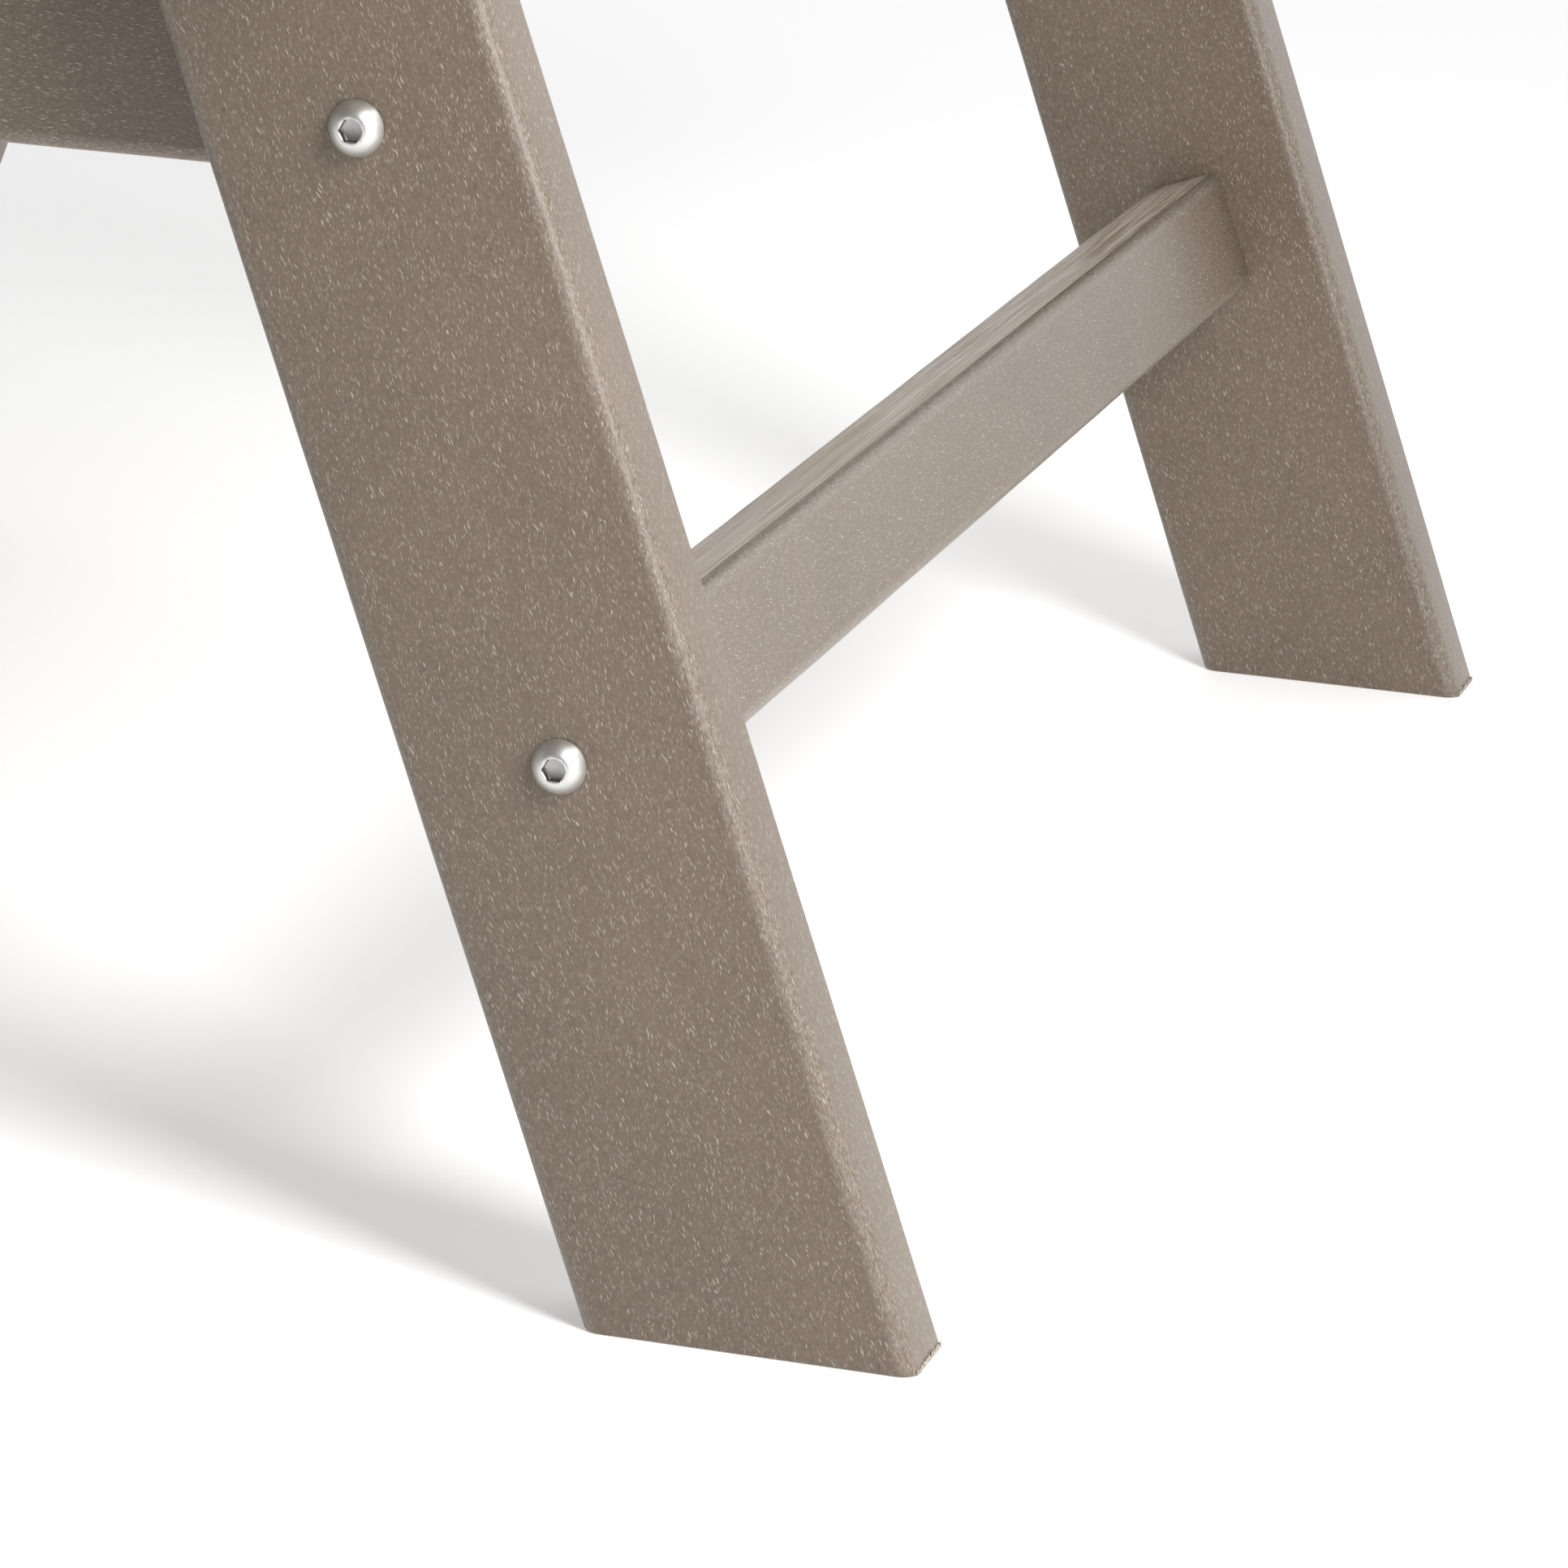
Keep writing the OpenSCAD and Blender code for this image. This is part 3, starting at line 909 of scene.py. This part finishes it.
def domed_bolt(length, thread_length):
    """A bolt along z: domed head on z = 0 pointing down, shank up, with a thread at its tip."""
    f = props().fasteners
    head = lathe("head", dome_outline(), 64)
    socket_r = hex_corner(f.socket_af)
    socket = primitive("cylinder", "socket", vertices=6, radius=socket_r, depth=2 * f.socket_depth)
    spin(socket, HALF_HEX)
    lift(socket, f.head_h)
    mouth_r = socket_r + 0.25 * MM
    cone = {"radius1": mouth_r - 0.9 * MM, "radius2": mouth_r + 0.3 * MM, "depth": 1.2 * MM}
    mouth = primitive("cone", "mouth", vertices=48, **cone)
    lift(mouth, f.head_h + 0.10 * MM)
    tip = {"radius1": 0.0, "radius2": f.socket_af * 0.46, "depth": 1.6 * MM}
    drill = primitive("cone", "drill", vertices=32, **tip)
    lift(drill, f.head_h - f.socket_depth - 0.79 * MM)
    for tool in (socket, mouth, drill):
        carve(head, tool)
    eased_edges(head, 0.14 * MM, 40)
    dress(head, stainless, socket_oxide_and_shade)
    for face in head.data.polygons:
        # The socket's walls take the darker steel: partly oxide, partly painted shade.
        deep = 0.5 * MM < face.center.z < f.head_h - 0.5 * MM
        face.material_index = 1 if deep and face.center.xy.length < mouth_r else 0
    head.data.transform(Matrix.Scale(-1, 4, UP))
    head.data.flip_normals()
    r = f.bolt_d / 2
    plain = length - thread_length
    outline = [(r, -0.5 * MM), (r, plain)]
    for i in range(int(thread_length / f.pitch)):
        z = plain + i * f.pitch
        outline += [(r - 1.0 * MM, z + f.pitch * 0.5), (r, z + f.pitch * 0.94), (r, z + f.pitch)]
    outline += [(r - 1.3 * MM, length)]
    shank = lathe("shank", outline, 32)
    return smooth(joined([head, shank], "bolt"), 38)


def lock_nut(height):
    """A hexagon nut standing on z = 0, corners turned off, with a nylon locking ring."""
    f = props().fasteners
    corner = hex_corner(f.nut_af)
    body_h = height * 0.8
    nut = primitive("cylinder", "nut", vertices=6, radius=corner, depth=body_h)
    spin(nut, HALF_HEX)
    lift(nut, body_h / 2)
    small, large, slope_h = f.nut_af / 2, corner + 0.2 * MM, 1.1 * MM
    outline = [(small, 0), (large, slope_h), (large, body_h - slope_h), (small, body_h)]
    turned = lathe("turned", outline, 64)
    carve(nut, turned, "INTERSECT")
    bore_r = f.bolt_d / 2 + BORE_PLAY
    bored(nut, 40, bore_r, 3 * height)
    collar_r = f.nut_af / 2 - 1.0 * MM
    outline = [
        (collar_r + 0.3 * MM, body_h - 0.4 * MM), (collar_r, body_h + 0.5 * MM),
        (collar_r, height - 0.8 * MM), (collar_r - 0.35 * MM, height - 0.2 * MM),
        (collar_r - 1.1 * MM, height)
    ]
    collar = lathe("collar", outline, 48)
    bored(collar, 40, bore_r, 3 * height)
    dress(nut, stainless)
    dress(collar, stainless, nylon)
    for face in collar.data.polygons:
        inner = face.center.xy.length < f.bolt_d / 2 + 0.3 * MM
        face.material_index = 1 if inner or face.center.z > height - 0.05 * MM else 0
    return smooth(joined([nut, collar], "nut"), 35)


def flat_washer(thick):
    """A washer lying on z = 0 with rolled edges."""
    f = props().fasteners
    washer = lathe("washer", [(f.washer_d / 2, 0), (f.washer_d / 2, thick)], 56)
    bored(washer, 48, f.bolt_d / 2 + 0.5 * MM, 4 * thick)
    eased_edges(washer, 0.35 * MM)
    return smooth(washer, 35)


def countersunk_screw(length):
    """A screw along -z, the top of its head at z = 0, with a cross recess and a thread."""
    f = props().fasteners
    r, top = f.screw_d / 2, f.screw_head_d / 2
    cone_h = top - r
    outline = [(r * 0.1, -length), (r * 0.62, -length + 4 * MM)]
    pitch = 3.4 * MM
    steps = ((0.68, 0.0), (0.68, 0.55), (1.0, 0.75), (0.68, 0.95))
    for i in range(int((length - cone_h - 22 * MM) / pitch)):
        z = -length + 5 * MM + i * pitch
        outline += [(r * wide, z + pitch * up) for wide, up in steps]
    outline += [
        (r * 0.9, -cone_h - 14 * MM), (r, -cone_h - 13 * MM), (r, -cone_h),
        (top - 0.15 * MM, -0.25 * MM), (top - 0.25 * MM, 0)
    ]
    screw = lathe("screw", outline, 24)
    for turn in (0, 90):
        arm = primitive("cone", "arm", vertices=4, radius1=2 * MM, radius2=5 * MM, depth=5.4 * MM)
        spin(arm, 45)
        arm.data.transform(Matrix.Diagonal((1.0, 0.2, 1.0, 1.0)))
        spin(arm, turn + 45)
        lift(arm, -0.6 * MM)
        carve(screw, arm)
    return smooth(screw, 30)


def barrel(length):
    """A barrel nut along z with turned-down ends and a slot for holding it."""
    f = props().fasteners
    r = f.barrel_d / 2
    half, chamfer = length / 2, 1 * MM
    outline = [(r - chamfer, -half), (r, chamfer - half), (r, half - chamfer), (r - chamfer, half)]
    body = lathe("barrel", outline, 56)
    slot = primitive("cube", "slot", size=1.0, scale=(r * 2.4, 2.2 * MM, 3 * MM))
    lift(slot, half)
    carve(body, slot)
    hole_r = f.bolt_d / 2 + BORE_PLAY
    hole = primitive("cylinder", "hole", vertices=32, radius=hole_r, depth=4 * r)
    spin(hole, 90, "Y")
    carve(body, hole)
    eased_edges(body, 0.2 * MM)
    return smooth(body, 35)


def place_group(pattern, node, matrices):
    """Copies one pattern to every place, joins the copies and lets them stand for a CAD node."""
    if not pattern.data.materials:
        dress(pattern, stainless)
    copies = [copy_at(pattern, f"{node}_{i}", m) for i, m in enumerate(matrices)]
    group = joined(copies, f"{node}_set")
    group.data.name = group.name
    return stand_in(group, node)


def facing_in(low, high, base):
    """Matrix that stands a part on the plane y = base and points its +z into the frame."""
    inwards = -1 if low.y + high.y > 0 else 1
    centre = Vector(((low.x + high.x) / 2, base, (low.z + high.z) / 2))
    z_axis, x_axis = ALONG * inwards, ACROSS * inwards
    return axes(x_axis, z_axis.cross(x_axis), centre)


# ---------------------------------------------------------------- operators


class PICNIC_OT_legs(bpy.types.Operator):
    """Models the four leaning legs"""

    bl_idname = "picnic.legs"
    bl_label = "Legs"

    def execute(self, context):
        corners = [(s, e) for s in LEFT_RIGHT for e in NEAR_FAR]
        for index, (side, end) in enumerate(corners, 1):
            make_leg(side, end, index)
        return {"FINISHED"}


class PICNIC_OT_cross_boards(bpy.types.Operator):
    """Models the cross boards of the two end frames"""

    bl_idname = "picnic.cross_boards"
    bl_label = "Cross boards"

    def execute(self, context):
        for index, end in enumerate(NEAR_FAR, 5):
            make_cross_board(end, index)
        return {"FINISHED"}


class PICNIC_OT_stretchers(bpy.types.Operator):
    """Models the low stretchers between the end frames"""

    bl_idname = "picnic.stretchers"
    bl_label = "Stretchers"

    def execute(self, context):
        for index, side in enumerate(LEFT_RIGHT, 7):
            make_stretcher(side, index)
        return {"FINISHED"}


class PICNIC_OT_battens(bpy.types.Operator):
    """Models the battens under the deck"""

    bl_idname = "picnic.battens"
    bl_label = "Battens"

    def execute(self, context):
        for index, name in enumerate(("near", "centre", "far"), 9):
            make_batten(name, index)
        return {"FINISHED"}


class PICNIC_OT_braces(bpy.types.Operator):
    """Models the slanting braces"""

    bl_idname = "picnic.braces"
    bl_label = "Braces"

    def execute(self, context):
        for index, end in enumerate(NEAR_FAR, 12):
            make_brace(end, index)
        return {"FINISHED"}


class PICNIC_OT_deck(bpy.types.Operator):
    """Models the planks of the deck"""

    bl_idname = "picnic.deck"
    bl_label = "Deck"

    def execute(self, context):
        for index, node in enumerate(PLANKS, 14):
            make_plank(node, index)
        return {"FINISHED"}


class PICNIC_OT_bolts(bpy.types.Operator):
    """Models the domed bolts"""

    bl_idname = "picnic.bolts"
    bl_label = "Bolts"

    def execute(self, context):
        f = props().fasteners
        for node, thread in (("frame_bolts_near", 30), ("frame_bolts_far", 30), ("stretcher_bolts", 40)):
            boxes = solids_of(node)
            low, high = boxes[0]
            pattern = domed_bolt(high.y - low.y - f.head_h, thread * MM)
            places = []
            for low, high in boxes:
                base = low.y + f.head_h if low.y + high.y < 0 else high.y - f.head_h
                places.append(facing_in(low, high, base))
            place_group(pattern, node, places)
            bpy.data.objects.remove(pattern)
        return {"FINISHED"}


class PICNIC_OT_nuts(bpy.types.Operator):
    """Models the lock nuts and washers of the frames"""

    bl_idname = "picnic.nuts"
    bl_label = "Nuts and washers"

    def execute(self, context):
        for end in NEAR_FAR:
            for kind, maker in (("nuts", lock_nut), ("washers", flat_washer)):
                node = f"frame_{kind}_{end}"
                boxes = solids_of(node)
                low, high = boxes[0]
                pattern = maker(high.y - low.y)
                places = [facing_in(lo, hi, lo.y if lo.y + hi.y < 0 else hi.y) for lo, hi in boxes]
                place_group(pattern, node, places)
                bpy.data.objects.remove(pattern)
        return {"FINISHED"}


class PICNIC_OT_barrel_nuts(bpy.types.Operator):
    """Models the barrel nuts in the stretchers"""

    bl_idname = "picnic.barrel_nuts"
    bl_label = "Barrel nuts"

    def execute(self, context):
        thick = size_of("plank_1").z
        pattern = barrel(thick - 8 * MM)
        places = []
        for low, high in solids_of("barrel_nuts"):
            centre = (low + high) / 2
            _, out = leg_axes(1 if centre.x > 0 else -1)
            z_axis = -out
            places.append(axes(ALONG, z_axis.cross(ALONG), centre))
        place_group(pattern, "barrel_nuts", places)
        bpy.data.objects.remove(pattern)
        return {"FINISHED"}


class PICNIC_OT_screws(bpy.types.Operator):
    """Models the countersunk screws of the deck and the braces"""

    bl_idname = "picnic.screws"
    bl_label = "Screws"

    def execute(self, context):
        sink = props().fasteners.screw_sink
        pattern = countersunk_screw(size_of("deck_screws_near").z)
        groups = {}
        for node, place, direction in all_screws():
            groups.setdefault(node, []).append((place, direction))
        for node, screws in groups.items():
            places = []
            for nth, (place, direction) in enumerate(screws):
                turned = Matrix.Rotation(math.radians(37.0 * nth % 90), 4, "Z")
                m = axes(ACROSS, ACROSS.cross(direction), place + direction * sink)
                places.append(m @ turned)
            place_group(pattern, node, places)
        bpy.data.objects.remove(pattern)
        return {"FINISHED"}


class PICNIC_OT_stage(bpy.types.Operator):
    """Sets up the floor, the lights and the camera"""

    bl_idname = "picnic.stage"
    bl_label = "Stage"

    def execute(self, context):
        s = props().stage
        floor = primitive("plane", "studio_floor_sheet", size=s.floor_size)
        dress(floor, white_floor)
        context.scene.world = self.surround(s)
        near_leg = middle_of("leg_near_right")
        self.soft_light("key", s.key_power, s.key_azimuth, s.key_elevation, s.key_distance, near_leg)
        self.soft_light("side", s.side_power, s.side_azimuth, s.side_elevation, s.side_distance, near_leg)
        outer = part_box("leg_near_right")[1].x
        aim = Vector((outer - s.aim_inset, near_leg.y, s.aim_height))
        self.camera(context, aim)
        context.scene.view_settings.view_transform = "Standard"
        return {"FINISHED"}

    def surround(self, s):
        """A white surround: brighter behind the table, dimmer overhead and on the left."""
        world = bpy.data.worlds.new("studio")
        world.use_nodes = True
        nodes, links = world.node_tree.nodes, world.node_tree.links
        direction = nodes.new("ShaderNodeTexCoord")
        split = nodes.new("ShaderNodeSeparateXYZ")
        links.new(direction.outputs["Generated"], split.inputs[0])
        levels = (
            (split.outputs["X"], -0.9, 0.3, s.leftwards, 1.0),
            (split.outputs["Y"], -0.7, 0.7, s.before, s.behind),
            (split.outputs["Z"], 0.1, 1.0, 1.0, s.overhead)
        )
        strength = nodes["Background"].inputs["Strength"]
        limits = ("From Min", "From Max", "To Min", "To Max")
        for source, *values in levels:
            ramp = nodes.new("ShaderNodeMapRange")
            ramp.interpolation_type = "SMOOTHSTEP"
            for key, value in zip(limits, values):
                ramp.inputs[key].default_value = value
            links.new(source, ramp.inputs["Value"])
            product = nodes.new("ShaderNodeMath")
            product.operation = "MULTIPLY"
            product.inputs[1].default_value = 1.0
            links.new(ramp.outputs[0], product.inputs[0])
            if strength.is_linked:
                links.new(strength.links[0].from_socket, product.inputs[1])
            links.new(product.outputs[0], strength)
        nodes["Background"].inputs["Color"].default_value = (1, 1, 1, 1)
        return world

    def soft_light(self, name, power, azimuth, elevation, distance, aim):
        """A square panel that shines on a point from the right and somewhat from the front."""
        data = bpy.data.lights.new(name, "AREA")
        data.energy = power
        data.shape = "SQUARE"
        data.size = distance * props().stage.softness
        obj = bpy.data.objects.new(name, data)
        flat = math.cos(elevation)
        towards = Vector((flat * math.cos(azimuth), -flat * math.sin(azimuth), math.sin(elevation)))
        obj.location = aim + towards * distance
        obj.rotation_mode = "QUATERNION"
        obj.rotation_quaternion = towards.to_track_quat("Z", "Y")
        bpy.context.scene.collection.objects.link(obj)

    def camera(self, context, aim):
        """The camera, turned about its own axis by the roll."""
        s = props().stage
        a, e = s.azimuth, s.elevation
        forward = Vector((-math.sin(a) * math.cos(e), math.cos(a) * math.cos(e), -math.sin(e)))
        data = bpy.data.cameras.new("camera")
        data.sensor_width = 36.0
        data.lens = s.lens
        data.clip_start, data.clip_end = 0.05, 200.0
        obj = bpy.data.objects.new("camera", data)
        obj.rotation_mode = "QUATERNION"
        level = forward.to_track_quat("-Z", "Y")
        obj.rotation_quaternion = level @ Matrix.Rotation(s.roll, 4, "Z").to_quaternion()
        obj.location = aim - forward * s.distance
        context.scene.collection.objects.link(obj)
        context.scene.camera = obj


STEPS = (
    "legs", "cross_boards", "stretchers", "battens", "braces", "deck",
    "bolts", "nuts", "barrel_nuts", "screws", "stage"
)


class PicnicTableProperties(bpy.types.PropertyGroup):
    """All settings of the table."""

    boards: PointerProperty(type=BoardProperties)
    plastic: PointerProperty(type=PlasticProperties)
    fasteners: PointerProperty(type=FastenerProperties)
    stage: PointerProperty(type=StageProperties)


class PICNIC_PT_panel(bpy.types.Panel):
    """Lists the steps that build the table"""

    bl_idname = "PICNIC_PT_panel"
    bl_label = "Picnic Table"
    bl_space_type = "VIEW_3D"
    bl_region_type = "UI"
    bl_category = "Picnic Table"

    def draw(self, context):
        for step in STEPS:
            self.layout.operator(f"picnic.{step}")


CLASSES = (
    BoardProperties, PlasticProperties, FastenerProperties, StageProperties, PicnicTableProperties,
    PICNIC_OT_legs, PICNIC_OT_cross_boards, PICNIC_OT_stretchers, PICNIC_OT_battens,
    PICNIC_OT_braces, PICNIC_OT_deck, PICNIC_OT_bolts, PICNIC_OT_nuts, PICNIC_OT_barrel_nuts,
    PICNIC_OT_screws, PICNIC_OT_stage, PICNIC_PT_panel,
)


def register():
    for cls in CLASSES:
        bpy.utils.register_class(cls)
    bpy.types.Scene.picnic_table = PointerProperty(type=PicnicTableProperties)


def unregister():
    del bpy.types.Scene.picnic_table
    for cls in reversed(CLASSES):
        bpy.utils.unregister_class(cls)


def main():
    register()
    for step in STEPS:
        getattr(bpy.ops.picnic, step)()
    bpy.context.view_layer.update()


if __name__ == "__main__":
    main()
